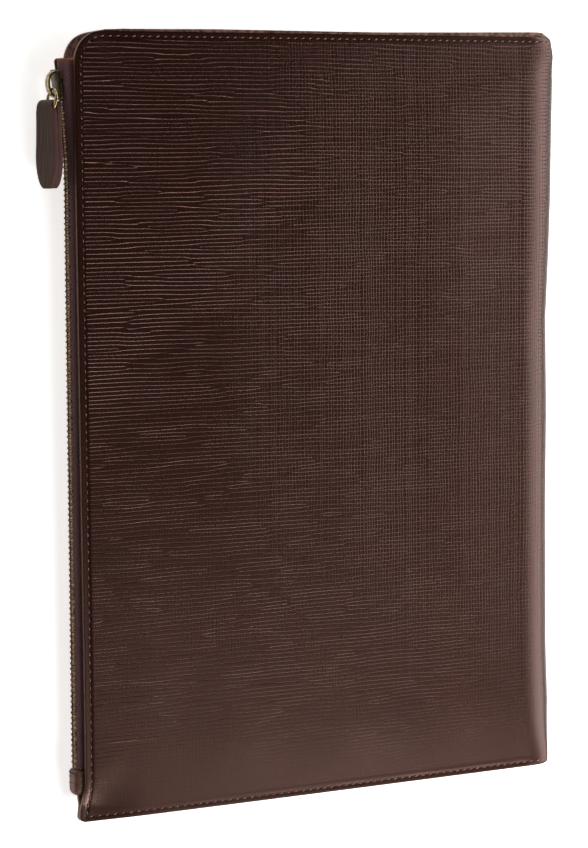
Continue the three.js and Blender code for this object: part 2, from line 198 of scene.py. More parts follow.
# %% Sizes of the sheet
WIDTH = 240.0
HEIGHT = 340.0
ZIP_EDGE = -WIDTH / 2
FOLD_SIDE = WIDTH / 2
TOP = HEIGHT / 2
BOTTOM = -HEIGHT / 2
LEATHER = 1.8
SEAM = 5.0
DEPTH = {"zip": 12.8, "fold": 8.6, "seam_lift": 4.0, "power": 1.5}
CORNER = {"top_left": 13.0, "bottom_left": 2.5, "top_right": 1.8, "bottom_right": 2.0}
RISE = {"zip": 14.0, "bottom": 30.0, "top": 40.0, "fold": 14.0, "blend": 25.0, "fold_blend": 60.0}
TOP_SEAM = {"open": 8.0, "sewn": 30.0}
BOTTOM_SEAM = {"zip": 6.5, "sewn": 16.0}
FOLD = {"front_seam": 13.0, "front_full": 18.0, "back_seam": 2.4, "back_full": 5.0, "nose": 0.38}
FOLD_CURVE = {"front": (2.3, 0.6), "back": (2.0, 0.5)}
SEAM_FRONT = DEPTH["seam_lift"] + 2 * LEATHER
SEAM_DROP = {"inside": 1.0, "corner": 2.0, "corner_width": 30.0}

# how far the fold's edge pulls in at each height
FOLD_PULL_IN = (
    (-170, 0.0), (-154, -0.4), (-140, -1.0), (-115, 0.0), (-50, 0.5), (0, 0.1), (40, 0.8), (70, -0.7),
    (95, -1.6), (128, -2.1), (150, -2.6), (161, -1.9), (170, 0.0),
)
# how far the zip's edge stands in at each height
ZIP_SET_IN = (
    (-170, -1.4), (-165, -0.9), (-157, 0.7), (-152, 1.0), (-110, 1.0), (0, 0.5), (110, 0.0), (170, 0.0),
)
# how far the back wall's top edge stands above the front's, from beside the rounded corner to the fold
LIP = {"from_zip": 12.0, "from_fold": 1.6, "depth": 3.0}
LIP_START = ZIP_EDGE + LIP["from_zip"]
LIP_END = FOLD_SIDE - LIP["from_fold"]
LIP_RISE = (
    (0.0, 0.0), (0.02, 0.9), (0.12, 1.1), (0.25, 1.4), (0.6, 1.1), (0.8, 1.7), (0.97, 2.3), (0.984, 2.2),
    (0.992, 1.8), (0.997, 1.2), (1.0, 0.4),
)
print("sheet", WIDTH, "x", HEIGHT, "mm")

# %% Heights of the two walls


def clamp(value, low=0.0, high=1.0):
    return max(low, min(high, value))


def lerp(a, b, share):
    return a + (b - a) * share


def smoothstep(value, low, high):
    share = clamp((value - low) / (high - low))
    return share * share * (3 - 2 * share)


def table_value(rows, place):
    for (low, a), (high, b) in zip(rows, rows[1:]):
        if place <= high:
            return lerp(a, b, clamp((place - low) / (high - low)))
    return rows[-1][1]


def corner_set_back(radius, from_edge):
    if from_edge >= radius:
        return 0.0
    return radius - math.sqrt(radius**2 - (radius - max(from_edge, 0.0)) ** 2)


def zip_edge(y):
    top = corner_set_back(CORNER["top_left"], TOP - y)
    return ZIP_EDGE + table_value(ZIP_SET_IN, y) + top + corner_set_back(CORNER["bottom_left"], y - BOTTOM)


def fold_edge(y):
    top = corner_set_back(CORNER["top_right"], TOP - y)
    bottom = corner_set_back(CORNER["bottom_right"], y - BOTTOM)
    return FOLD_SIDE - table_value(FOLD_PULL_IN, y) - top - bottom


def fullness(x, y):
    away = smoothstep(x, ZIP_EDGE, ZIP_EDGE + RISE["blend"])
    sewn = smoothstep(x, ZIP_EDGE + TOP_SEAM["open"], ZIP_EDGE + TOP_SEAM["sewn"])
    top_seam = lerp(TOP + RISE["zip"], TOP - SEAM, sewn)
    along = smoothstep(x, ZIP_EDGE, ZIP_EDGE + BOTTOM_SEAM["sewn"])
    bottom_seam = BOTTOM + lerp(BOTTOM_SEAM["zip"], SEAM, along)
    by_fold = smoothstep(x, FOLD_SIDE - RISE["fold_blend"], FOLD_SIDE - FOLD["front_full"])
    top_rise = lerp(lerp(RISE["zip"], RISE["top"], away), RISE["fold"], by_fold)
    bottom_rise = lerp(RISE["zip"], RISE["bottom"], away)
    above = clamp((y - bottom_seam) / bottom_rise)
    return smoothstep(top_seam - y, 0.0, top_rise) * math.sin(math.pi / 2 * above)


def crown_height(x):
    across = clamp((x - ZIP_EDGE) / (WIDTH - FOLD["front_full"]))
    return lerp(DEPTH["zip"], DEPTH["fold"], across ** DEPTH["power"])


def seam_height(x):
    """Height of the front wall's outside in the sewn seams: a little below the front, most at the zip."""
    corner = 1 - smoothstep(x, ZIP_EDGE, ZIP_EDGE + SEAM_DROP["corner_width"])
    return max(SEAM_FRONT, crown_height(x) - lerp(SEAM_DROP["inside"], SEAM_DROP["corner"], corner))


def wall_height(wall, x, y):
    full = fullness(x, y)
    if wall == "back":
        return lerp(seam_height(x) - 2 * LEATHER, 0.0, full)
    return lerp(seam_height(x), crown_height(x), full)


def sheet_point(wall, part, y):
    """Part 0 is the zip edge, 1 the start of the fold and 2 the fold's nose, where the walls meet."""
    full = fullness(FOLD_SIDE - FOLD["front_full"], y)
    reach = lerp(FOLD[wall + "_seam"], FOLD[wall + "_full"], full)
    turn = fold_edge(y) - reach
    if part <= 1:
        x = lerp(zip_edge(y), turn, part)
        return Vector((x, y, wall_height(wall, x, y)))
    angle = math.pi / 2 * (part - 1)
    nose = lerp(wall_height("back", turn, y), wall_height("front", turn, y), FOLD["nose"])
    x = turn + reach * math.sin(angle)
    start, end = FOLD_CURVE[wall]
    bend = (1 - math.sin(angle) ** start) ** end
    return Vector((x, y, lerp(nose, wall_height(wall, turn, y), bend)))


middle = sheet_point("front", 0.5, 0.0)
print(f"front wall stands {middle.z:.1f} mm high in the middle")

# %% [markdown]
# ## The stitch line
#
# One row of stitches runs a few millimetres inside the edge: along the top, round the corner above the zip,
# down the zip's edge and along the bottom. It is worked out once as a line of places on the sheet, because
# the leather is pressed in along it, and the threads and the needle holes follow it.

# %% Stitch line
STITCH_PITCH = 3.7
STITCH_IN = {"top": 2.1, "bottom": 2.2, "zip_top": 2.6, "zip_bottom": 3.5, "corner": 1.6, "flare": 14.0}
STITCH_END_X = FOLD_SIDE - 3.0
LINE_STEP = 0.25
CORNER_STEPS = 12


def zip_stitch_x(y):
    return ZIP_EDGE + lerp(STITCH_IN["zip_bottom"], STITCH_IN["zip_top"], (y - BOTTOM) / HEIGHT)


def stitch_corners():
    """Corner points of the line: from the fold along the top, down the zip and back along the bottom."""
    top = TOP - STITCH_IN["top"]
    bottom = BOTTOM + STITCH_IN["bottom"]
    centre = Vector((ZIP_EDGE + CORNER["top_left"], TOP - CORNER["top_left"]))
    points = [Vector((STITCH_END_X, top))]
    for step in range(CORNER_STEPS + 1):
        angle = math.radians(90 + 90 * step / CORNER_STEPS)
        reach_x = CORNER["top_left"] - STITCH_IN["zip_top"]
        reach_y = CORNER["top_left"] - STITCH_IN["top"]
        points.append(centre + Vector((reach_x * math.cos(angle), reach_y * math.sin(angle))))
    flare = BOTTOM + STITCH_IN["flare"]
    points.append(Vector((zip_stitch_x(flare), flare)))
    points.append(Vector((ZIP_EDGE + STITCH_IN["corner"], bottom)))
    points.append(Vector((STITCH_END_X, bottom)))
    return points


def walk(points, step):
    """Places along a line of points, a fixed step apart."""
    places = []
    carried = 0.0
    for a, b in zip(points, points[1:]):
        length = (b - a).length
        while carried <= length:
            places.append(a.lerp(b, carried / length))
            carried += step
        carried -= length
    return places


stitch_line = walk(stitch_corners(), LINE_STEP)
print(f"stitch line {len(stitch_line) * LINE_STEP:.0f} mm long")

# %% [markdown]
# ## The sheet itself
#
# A leather wall is best made as what it is: one flat grid, bent to the folder's form, then given its
# thickness by a Solidify modifier, which also makes the cut edges. The grid is finer along the edges, where
# the seam is pressed in. Three attributes ride on its points: where the point lies on the flat sheet, how
# strong the grain is there, and how strong the fine upright creases are. The grain's shader reads them, so
# the pattern runs on round the fold.

# %% Grid lines of the sheet
# distance from an edge in mm up to which the grid has this step
GRID_STEPS = ((1.0, 0.5), (5.5, 0.45), (14.0, 1.4), (40.0, 3.2), (500.0, 6.0))


def graded(length):
    """Distances from 0 to a length, close together at the start."""
    places = [0.0]
    for limit, step in GRID_STEPS:
        while places[-1] + step < min(limit, length):
            places.append(places[-1] + step)
    return places


def graded_both(length):
    """Distances from 0 to a length, close together at both ends."""
    half = graded(length / 2)
    return half + [length - d for d in reversed(half)]


FOLD_STEPS = 12
# the last columns before the fold, in mm from its start
FOLD_START = (8.0, 6.0, 4.5, 3.2, 2.2, 1.4, 0.7, 0.0)
rows = [BOTTOM + d for d in graded_both(HEIGHT)]
flat = WIDTH - FOLD["front_full"]
fold_start = [1 - d / flat for d in FOLD_START]
flat_parts = [d / flat for d in graded(flat - FOLD_START[0])] + fold_start
turn_parts = [1 + k / FOLD_STEPS for k in range(1, FOLD_STEPS + 1)]
columns = [("front", p) for p in flat_parts + turn_parts]
columns += [("back", p) for p in reversed(flat_parts + turn_parts[:-1])]
print(len(columns), "columns,", len(rows), "rows")

# %% Bend the sheet
SHEET_THICKNESS = 1.7
PRESSED = {"depth": 0.16, "width": 0.75}
WAVES = {"height": 0.22, "length": 62.0, "slant": 0.08, "shift": 6.0}
WAVES_START = (-110, -40)
WAVES_END = (60, 110)
SEAM_REACH = {"zip": 9, "top": 16, "bottom": 6}
NO_SEAM_NEAR = 99.0
# the stitch line is read at every second place by the zip and at every fourth elsewhere
LINE_SKIP = {"zip": 2, "elsewhere": 4, "zip_until": -100}


def seam_distance(x, y):
    by_zip = x - zip_edge(y) < SEAM_REACH["zip"]
    by_seam = TOP - y < SEAM_REACH["top"] or y - BOTTOM < SEAM_REACH["bottom"]
    if not (by_zip or by_seam):
        return NO_SEAM_NEAR
    skip = LINE_SKIP["elsewhere" if x > LINE_SKIP["zip_until"] else "zip"]
    return min(math.hypot(p.x - x, p.y - y) for p in stitch_line[::skip])


def lip_rise(x):
    if not LIP_START < x < LIP_END:
        return 0.0
    return table_value(LIP_RISE, (x - LIP_START) / (LIP_END - LIP_START))


def shaped(wall, part, y):
    """The sheet's point with the small movements that leather has: pressed seams and slack waves."""
    place = sheet_point(wall, part, y)
    outward = 1.0 if wall == "front" else -1.0
    if part <= 1:
        near = seam_distance(place.x, place.y)
        place.z -= outward * PRESSED["depth"] * math.exp(-((near / PRESSED["width"]) ** 2))
    if wall == "front":
        slack = fullness(place.x, place.y) ** 2 * smoothstep(place.x, *WAVES_START)
        slack *= 1 - smoothstep(place.x, *WAVES_END)
        along = place.x + WAVES["slant"] * y + WAVES["shift"]
        place.z += WAVES["height"] * slack * math.sin(2 * math.pi * along / WAVES["length"])
    else:
        place.y += lip_rise(place.x) * clamp((y - TOP + LIP["depth"]) / LIP["depth"])
    return place


sheet_bm = bmesh.new()
bmesh.ops.create_grid(sheet_bm, x_segments=len(columns) - 1, y_segments=len(rows) - 1, size=1.0)
flat_layer = sheet_bm.verts.layers.float_vector.new("sheet")
grain_layer = sheet_bm.verts.layers.float.new("grain")
cross_layer = sheet_bm.verts.layers.float.new("cross")

along_sheet = [0.0]
for (wall_a, part_a), (wall_b, part_b) in zip(columns, columns[1:]):
    step = sheet_point(wall_b, part_b, 0.0) - sheet_point(wall_a, part_a, 0.0)
    along_sheet.append(along_sheet[-1] + step.length)
print(f"flat sheet {along_sheet[-1]:.0f} x {HEIGHT:.0f} mm")

# %% Place the sheet's points
# distance from an edge where the grain starts and where it is full
MARGIN = (3.0, 4.4)
# strength of the main creases at each height, and how it fades away from the zip's upper end
GRAIN_UP = (
    (-165, 0.06), (-150, 0.3), (-128, 0.54), (-86, 0.68), (-44, 0.78), (0, 0.9), (41, 1.05), (83, 1.2),
    (125, 1.4), (165, 1.6),
)
GRAIN_FADE = {"across": 1.3, "down": 1.15, "start": 130.0, "end": 240.0, "left_over": 0.62}
# strength of the fine upright creases from the zip to the fold, and at each height
CROSS_ALONG = ((-110, 0.1), (-60, 0.55), (-15, 0.85), (35, 0.8), (70, 0.75), (105, 0.65))
CROSS_UP = ((-165, 0.1), (-128, 0.45), (-86, 0.8), (-30, 1.0), (60, 1.0), (120, 0.85), (165, 0.75))


def inside_margin(place):
    edge = min(place.x - zip_edge(place.y), TOP - place.y, place.y - BOTTOM)
    return smoothstep(edge, *MARGIN)


def grain_strength(place):
    away = GRAIN_FADE["across"] * (place.x - ZIP_EDGE) + GRAIN_FADE["down"] * (TOP - place.y)
    near = 1 - smoothstep(away, GRAIN_FADE["start"], GRAIN_FADE["end"])
    return inside_margin(place) * table_value(GRAIN_UP, place.y) * lerp(GRAIN_FADE["left_over"], 1.0, near)


def cross_strength(place):
    return inside_margin(place) * table_value(CROSS_ALONG, place.x) * table_value(CROSS_UP, place.y)


def flat_place(column, y):
    """Where a point lies on the flat sheet: the way along the middle row, moved with this row's edges."""
    wall, part = columns[column]
    moved = sheet_point(wall, part, y).x - sheet_point(wall, part, 0.0).x
    if wall == "back":
        moved = 2 * (fold_edge(y) - fold_edge(0.0)) - moved
    return Vector((along_sheet[column] + moved, y, 0.0))


for vert in sheet_bm.verts:
    column = round((vert.co.x + 1) / 2 * (len(columns) - 1))
    row = round((vert.co.y + 1) / 2 * (len(rows) - 1))
    wall, part = columns[column]
    place = shaped(wall, part, rows[row])
    vert[flat_layer] = flat_place(column, rows[row]) * MM
    vert[grain_layer] = grain_strength(place)
    vert[cross_layer] = cross_strength(place)
    vert.co = place * MM

sheet_mesh = bpy.data.meshes.new("leather_sheet")
for face in sheet_bm.faces:
    face.smooth = True
sheet_bm.to_mesh(sheet_mesh)
sheet_bm.free()
leather_sheet = bpy.data.objects.new("leather_sheet", sheet_mesh)
bpy.context.scene.collection.objects.link(leather_sheet)
print("sheet points", len(sheet_mesh.vertices))

# %% Give the sheet its thickness and rounded edges
EDGE_SEGMENTS = 3
SHEET_EDGE = {"width": 0.4, "angle_deg": 60}


def round_cut_edges(piece, name, width, angle_deg):
    """A modifier that rounds the cut edges of a sheet after it has its thickness."""
    rounded = piece.modifiers.new(name, "BEVEL")
    rounded.width = width * MM
    rounded.segments = EDGE_SEGMENTS
    rounded.profile = 0.5
    rounded.limit_method = "ANGLE"
    rounded.angle_limit = math.radians(angle_deg)


wall_thickness = leather_sheet.modifiers.new("wall_thickness", "SOLIDIFY")
wall_thickness.thickness = SHEET_THICKNESS * MM
wall_thickness.offset = -1.0
wall_thickness.use_even_offset = False
wall_thickness.material_offset = 1
wall_thickness.material_offset_rim = 2
round_cut_edges(leather_sheet, "edge_round", **SHEET_EDGE)
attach(leather_sheet, "root")
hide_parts("leather_shell")
print("leather sheet", SHEET_THICKNESS, "mm thick")

# %% [markdown]
# ## Cross-boarded leather
#
# The hide was dyed dark brown, then folded and rolled under a board, which creases the grain. The main
# creases run across the folder a little under 2 mm apart, wander, and fork where two join. Fine upright ones
# cross them, faintest by the zip. A Gabor texture is made of just such waves with random phase, so its
# Phase output gives creases of even depth that fork. Where its Intensity is low a crease ends, so the depth is
# tapered there. A one-dimensional Voronoi texture gives the upright creases, because its cells have uneven
# widths. Creases this fine are bump, since a mesh of them would have millions of faces. To the eye they are
# thin bright lines where their walls face a light, and dull at the bottom.

# %% Boarded leather
# half is the width of one wall as a share of the pitch
CREASE = {"pitch_mm": 1.8, "run_mm": 24.0, "rows_in_cell": 3.6, "depth_mm": 0.125, "half": 0.155}
CREASE_TAPER = 0.045
UPRIGHT = {"pitch_mm": 1.5, "depth_mm": 0.052, "half": 0.15, "unevenness": 0.75}
# the noise mostly stays within about a sixth of its middle value
WANDER = {"mm": 0.35, "run_mm": 30.0, "noise_factor": 6}
WALL_CURVE = {"rise": 1.5, "ease": -0.5}
GABOR_ANGLE_2D = 4
PORES = {"size_mm": 0.5, "depth_mm": 0.012}
# in_crease is painted shade: the share of the colour left at the bottom of each crease
HIDE_AND_CREASE_SHADE = {"cloud_mm": 35, "dark": "#1e0b07", "light": "#290f09", "in_crease": 0.62}
POLISH = {"in_crease": 0.15, "flat": 0.5, "shoulder": 0.3}
LEATHER_ROUGHNESS = {"in_crease": 0.24, "flat": 0.27}
LEATHER_IOR = 1.45
WARM_GLOSS = "#ffc9b9"
DULL_IOR = 1.3


def crease_wall(tree, distance, half):
    """Height from 0 in a crease to 1 beside it, 1.5 s - 0.5 s^3: a steep wall with a round shoulder."""
    share = add_node(tree, "ShaderNodeMapRange", {"Value": distance, "From Max": half}).outputs["Result"]
    square = add_node(tree, "ShaderNodeMath", {0: share, 1: share}, operation="MULTIPLY").outputs[0]
    eased = add_node(
        tree,
        "ShaderNodeMath",
        {0: square, 1: WALL_CURVE["ease"], 2: WALL_CURVE["rise"]},
        operation="MULTIPLY_ADD",
    )
    return add_node(tree, "ShaderNodeMath", {0: eased.outputs[0], 1: share}, operation="MULTIPLY").outputs[0]


def boarded_leather():
    """Glossy dark calf: thin bright lines on the crease walls and dark flats between them."""
    made, tree, shader = new_material("cross_boarded_calf_leather")
    sheet = add_node(tree, "ShaderNodeAttribute", attribute_name="sheet").outputs["Vector"]
    grain = add_node(tree, "ShaderNodeAttribute", attribute_name="grain").outputs["Fac"]
    cross = add_node(tree, "ShaderNodeAttribute", attribute_name="cross").outputs["Fac"]

    # main creases, across the folder
    cell_up = CREASE["pitch_mm"] * CREASE["rows_in_cell"] * MM
    cell_along = CREASE["run_mm"] * MM
    stretched = add_node(
        tree, "ShaderNodeVectorMath", {0: sheet, 1: (1 / cell_along, 1 / cell_up, 0.0)}, operation="MULTIPLY"
    )
    waves = add_node(
        tree,
        "ShaderNodeTexGabor",
        {
            "Vector": stretched.outputs[0],
            "Scale": 1.0,
            "Frequency": CREASE["rows_in_cell"],
            GABOR_ANGLE_2D: math.pi / 2,
        },
    )
    centred = add_node(tree, "ShaderNodeMath", {0: waves.outputs["Phase"], 1: 0.5}, operation="SUBTRACT")
    unsigned = add_node(tree, "ShaderNodeMath", {0: centred.outputs[0]}, operation="ABSOLUTE")
    sharp = crease_wall(tree, unsigned.outputs[0], CREASE["half"])
    taper = add_node(
        tree, "ShaderNodeMapRange", {"Value": waves.outputs["Intensity"], "From Max": CREASE_TAPER}
    )
    faded = add_node(
        tree, "ShaderNodeMix", {"Factor": taper.outputs["Result"], "A": 1.0, "B": sharp}, data_type="FLOAT"
    )
    ridge = faded.outputs[0]

    # fine upright creases
    wander = add_node(
        tree, "ShaderNodeTexNoise", {"Vector": sheet, "Scale": 1 / (WANDER["run_mm"] * MM), "Detail": 2.0}
    )
    split = add_node(tree, "ShaderNodeSeparateXYZ", {0: sheet})
    wandering = add_node(
        tree,
        "ShaderNodeMath",
        {0: wander.outputs["Fac"], 1: WANDER["noise_factor"] * WANDER["mm"] / UPRIGHT["pitch_mm"]},
        operation="MULTIPLY",
    )
    counted = add_node(
        tree,
        "ShaderNodeMath",
        {0: split.outputs["X"], 1: 1 / (UPRIGHT["pitch_mm"] * MM), 2: wandering.outputs[0]},
        operation="MULTIPLY_ADD",
    )
    uprights = add_node(
        tree,
        "ShaderNodeTexVoronoi",
        {"W": counted.outputs[0], "Scale": 1.0, "Randomness": UPRIGHT["unevenness"]},
        voronoi_dimensions="1D",
        feature="DISTANCE_TO_EDGE",
    )
    upright = crease_wall(tree, uprights.outputs["Distance"], UPRIGHT["half"])

    # both, in millimetres of height, and the pores
    main_depth = add_node(tree, "ShaderNodeMath", {0: grain, 1: CREASE["depth_mm"]}, operation="MULTIPLY")
    main_height = add_node(tree, "ShaderNodeMath", {0: ridge, 1: main_depth.outputs[0]}, operation="MULTIPLY")
    upright_mm = add_node(tree, "ShaderNodeMath", {0: cross, 1: UPRIGHT["depth_mm"]}, operation="MULTIPLY")
    with_uprights = add_node(
        tree,
        "ShaderNodeMath",
        {0: upright, 1: upright_mm.outputs[0], 2: main_height.outputs[0]},
        operation="MULTIPLY_ADD",
    )
    pores = add_node(
        tree, "ShaderNodeTexNoise", {"Vector": sheet, "Scale": 1 / (PORES["size_mm"] * MM), "Detail": 3.0}
    )
    height = add_node(
        tree,
        "ShaderNodeMath",
        {0: pores.outputs["Fac"], 1: PORES["depth_mm"], 2: with_uprights.outputs[0]},
        operation="MULTIPLY_ADD",
    )
    bump = add_node(tree, "ShaderNodeBump", {"Strength": 1.0, "Distance": MM, "Height": height.outputs[0]})

    # painted shade darkens the colour in the creases, and the dye is uneven over the hide
    cloud = add_node(
        tree, "ShaderNodeTexNoise", {"Vector": sheet, "Scale": 1 / (HIDE_AND_CREASE_SHADE["cloud_mm"] * MM), "Detail": 4.0}
    )
    hide = add_node(
        tree,
        "ShaderNodeMix",
        {"Factor": cloud.outputs["Fac"], MIX_A: linear(HIDE_AND_CREASE_SHADE["dark"]), MIX_B: linear(HIDE_AND_CREASE_SHADE["light"])},
        data_type="RGBA",
    )
    crease_painted_shade = add_node(tree, "ShaderNodeMapRange", {"Value": ridge, "To Min": HIDE_AND_CREASE_SHADE["in_crease"], "To Max": 1.0})
    dye_and_crease_shade = add_node(
        tree,
        "ShaderNodeMix",
        {"Factor": 1.0, MIX_A: hide.outputs[MIX_RESULT], MIX_B: crease_painted_shade.outputs["Result"]},
        data_type="RGBA",
        blend_type="MULTIPLY",
    )
    lower = add_node(tree, "ShaderNodeMath", {0: ridge, 1: upright}, operation="MINIMUM")
    polish = add_node(
        tree,
        "ShaderNodeMapRange",
        {
            "Value": lower.outputs[0],
            "From Max": POLISH["shoulder"],
            "To Min": POLISH["in_crease"],
            "To Max": POLISH["flat"],
        },
    )
    tree.links.new(polish.outputs["Result"], shader.inputs["Specular IOR Level"])
    gloss = add_node(
        tree,
        "ShaderNodeMapRange",
        {"Value": ridge, "To Min": LEATHER_ROUGHNESS["in_crease"], "To Max": LEATHER_ROUGHNESS["flat"]},
    )
    tree.links.new(dye_and_crease_shade.outputs[MIX_RESULT], shader.inputs["Base Color"])
    tree.links.new(gloss.outputs["Result"], shader.inputs["Roughness"])
    tree.links.new(bump.outputs["Normal"], shader.inputs["Normal"])
    shader.inputs["IOR"].default_value = LEATHER_IOR
    shader.inputs["Specular Tint"].default_value = linear(WARM_GLOSS)
    return made


leather = boarded_leather()
sheet_mesh.materials.append(leather)
print("material", leather.name)

# %% [markdown]
# ## Inside and edges of the leather
#
# The inner side is the hide's flesh side, a dull suede. The cut edges are painted and rubbed smooth. Both are
# mottled, as are the thread and the brass further on, so one function gives a finish that goes from one
# colour to another in spots of a real size.

# %% Flesh side and painted edge
SPOT_CONTRAST = (0.35, 0.65)
SUEDE = {"spot_mm": 2.2, "detail": 5.0, "colours": ("#4c2e24", "#a57e6e"), "relief": (0.6, 0.2)}
SUEDE_ROUGHNESS = 0.92
EDGE_PAINT = {"spot_mm": 3, "detail": 4.0, "relief": (0.5, 0.1)}


def mottled_finish(name, spot_mm, detail, colours, contrast=(0.0, 1.0), relief=None):
    """A material in two colours; relief is the strength and the depth in mm of the spots' bump."""
    made, tree, shader = new_material(name)
    coordinates = add_node(tree, "ShaderNodeTexCoord").outputs["Object"]
    spots = add_node(
        tree, "ShaderNodeTexNoise", {"Vector": coordinates, "Scale": 1 / (spot_mm * MM), "Detail": detail}
    ).outputs["Fac"]
    share = add_node(
        tree, "ShaderNodeMapRange", {"Value": spots, "From Min": contrast[0], "From Max": contrast[1]}
    ).outputs["Result"]
    dark, light = (linear(colour) for colour in colours)
    mixed = add_node(tree, "ShaderNodeMix", {"Factor": share, MIX_A: dark, MIX_B: light}, data_type="RGBA")
    tree.links.new(mixed.outputs[MIX_RESULT], shader.inputs["Base Color"])
    if relief:
        strength, depth_mm = relief
        bump = add_node(
            tree, "ShaderNodeBump", {"Strength": strength, "Distance": depth_mm * MM, "Height": spots}
        )
        tree.links.new(bump.outputs["Normal"], shader.inputs["Normal"])
    return made, shader, share


def flesh_side():
    """Short nap, which is dull and blotched light and dark."""
    made, shader, _ = mottled_finish("suede_flesh_side", contrast=SPOT_CONTRAST, **SUEDE)
    shader.inputs["Roughness"].default_value = SUEDE_ROUGHNESS
    return made


def painted_edge(name, dark, light, roughness):
    """Edge paint rubbed smooth, which is even with a soft gloss."""
    made, shader, _ = mottled_finish(name, colours=(dark, light), **EDGE_PAINT)
    shader.inputs["Roughness"].default_value = roughness
    shader.inputs["IOR"].default_value = DULL_IOR
    return made


suede = flesh_side()
edge_paint = painted_edge("painted_cut_edge", "#432a23", "#806151", 0.5)
sheet_mesh.materials.append(suede)
sheet_mesh.materials.append(edge_paint)
print("materials", [m.name for m in sheet_mesh.materials])

# %% [markdown]
# ## From a mesh to a piece of the folder
#
# The small pieces are built in millimetres with Blender's mesh operators. One function turns such a mesh into
# an object in metres, shades it smooth up to a sharp angle, and hides the frame's solid that it stands for.

# %% Pieces
SHARP_DEG = 42
BOX_EDGE_DEG = 40


def finish_piece(name, bm, node, slot, *materials):
    """The object of a mesh in millimetres, standing for a solid of the frame."""
    bmesh.ops.recalc_face_normals(bm, faces=bm.faces)
    bmesh.ops.scale(bm, vec=(MM, MM, MM), verts=bm.verts)
    for face in bm.faces:
        face.smooth = True
    mesh = bpy.data.meshes.new(name)
    bm.to_mesh(mesh)
    bm.free()
    mesh.set_sharp_from_angle(angle=math.radians(SHARP_DEG))
    for material in materials:
        mesh.materials.append(material)
    piece = bpy.data.objects.new(name, mesh)
    bpy.context.scene.collection.objects.link(piece)
    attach(piece, "root")
    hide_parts(node)
    print(name, len(mesh.polygons), "faces")
    return piece


def add_box(bm, low, high):
    """A box between two corners; returns its new points."""
    low, high = Vector(low), Vector(high)
    matrix = Matrix.Translation((low + high) / 2) @ Matrix.Diagonal((*(high - low), 1.0))
    return bmesh.ops.create_cube(bm, size=1.0, matrix=matrix)["verts"]


def round_edges(bm, edges, width, segments):
    bmesh.ops.bevel(
        bm, geom=list(edges), offset=width, segments=segments, profile=0.5, affect="EDGES", material=-1
    )


def sharp_edges(bm, angle_deg=BOX_EDGE_DEG):
    limit = math.radians(angle_deg)
    return [e for e in bm.edges if len(e.link_faces) == 2 and e.calc_face_angle(0.0) > limit]


print("pieces stay smooth up to", SHARP_DEG, "degrees")

# %% [markdown]
# ## Stitches
#
# A saddle stitch is a waxed thread that dips into one hole after the other, so each stitch shows as a short
# hump between two dark needle holes. Each hump is a stretched ball, turned a little across the line as hand
# stitches are, and sunk into the pressed seam. The shade in each needle hole is painted on, as a small flat
# dark ball at the hole. Both walls have them.

# %% Stitch threads and painted shade of the needle holes
THREAD = {"length": 1.9, "width": 0.62, "height": 0.7, "slant_deg": 14.0, "above": 0.06}
HOLE = {"length": 0.85, "width": 0.66, "height": 0.3}
BALL = {"u_segments": 8, "v_segments": 6}
SLOPE_STEP = 0.5
WAX_ROUGHNESS = 0.22
HOLE_ROUGHNESS = 0.95
LINEN = {"spot_mm": 0.35, "detail": 3.0, "colours": ("#472a1f", "#86624f"), "relief": (0.5, 0.1)}
HOLE_SHADE_SPOTS = {"spot_mm": 0.4, "detail": 2.0, "colours": ("#070403", "#160b09")}


def wall_frame(wall, x, y):
    """Place on the outside of a wall, in the pressed seam, and its outward normal."""
    outward = 1.0 if wall == "front" else -1.0
    slope_x = (wall_height(wall, x + SLOPE_STEP, y) - wall_height(wall, x - SLOPE_STEP, y)) / (2 * SLOPE_STEP)
    slope_y = (wall_height(wall, x, y + SLOPE_STEP) - wall_height(wall, x, y - SLOPE_STEP)) / (2 * SLOPE_STEP)
    normal = Vector((-slope_x, -slope_y, 1.0)).normalized() * outward
    return Vector((x, y, wall_height(wall, x, y))) - normal * PRESSED["depth"], normal


def ball_mesh():
    bm = bmesh.new()
    bmesh.ops.create_uvsphere(bm, radius=0.5, **BALL)
    mesh = bpy.data.meshes.new("unit_ball")
    bm.to_mesh(mesh)
    bm.free()
    return mesh


UNIT_BALL = ball_mesh()


def add_ball(bm, place, along, normal, sizes):
    """A stretched ball at a place, with its length along one direction and its height along another."""
    side = normal.cross(along).normalized()
    forward = side.cross(normal).normalized()
    turned = Matrix((forward, side, normal)).transposed().to_4x4()
    stamp = UNIT_BALL.copy()
    stamp.transform(Matrix.Translation(place) @ turned @ Matrix.Diagonal((*sizes, 1.0)))
    bm.from_mesh(stamp)
    bpy.data.meshes.remove(stamp)


def waxed_thread():
    """A tan thread with wax on it, which gives a small bright spot on each stitch."""
    made, shader, _ = mottled_finish("waxed_linen_thread", **LINEN)
    shader.inputs["Roughness"].default_value = WAX_ROUGHNESS
    return made


def needle_hole_shade():
    """A dark, mottled material for the painted shade in the needle holes beside each stitch."""
    made, shader, _ = mottled_finish("needle_hole_painted_shade", **HOLE_SHADE_SPOTS)
    shader.inputs["Roughness"].default_value = HOLE_ROUGHNESS
    return made


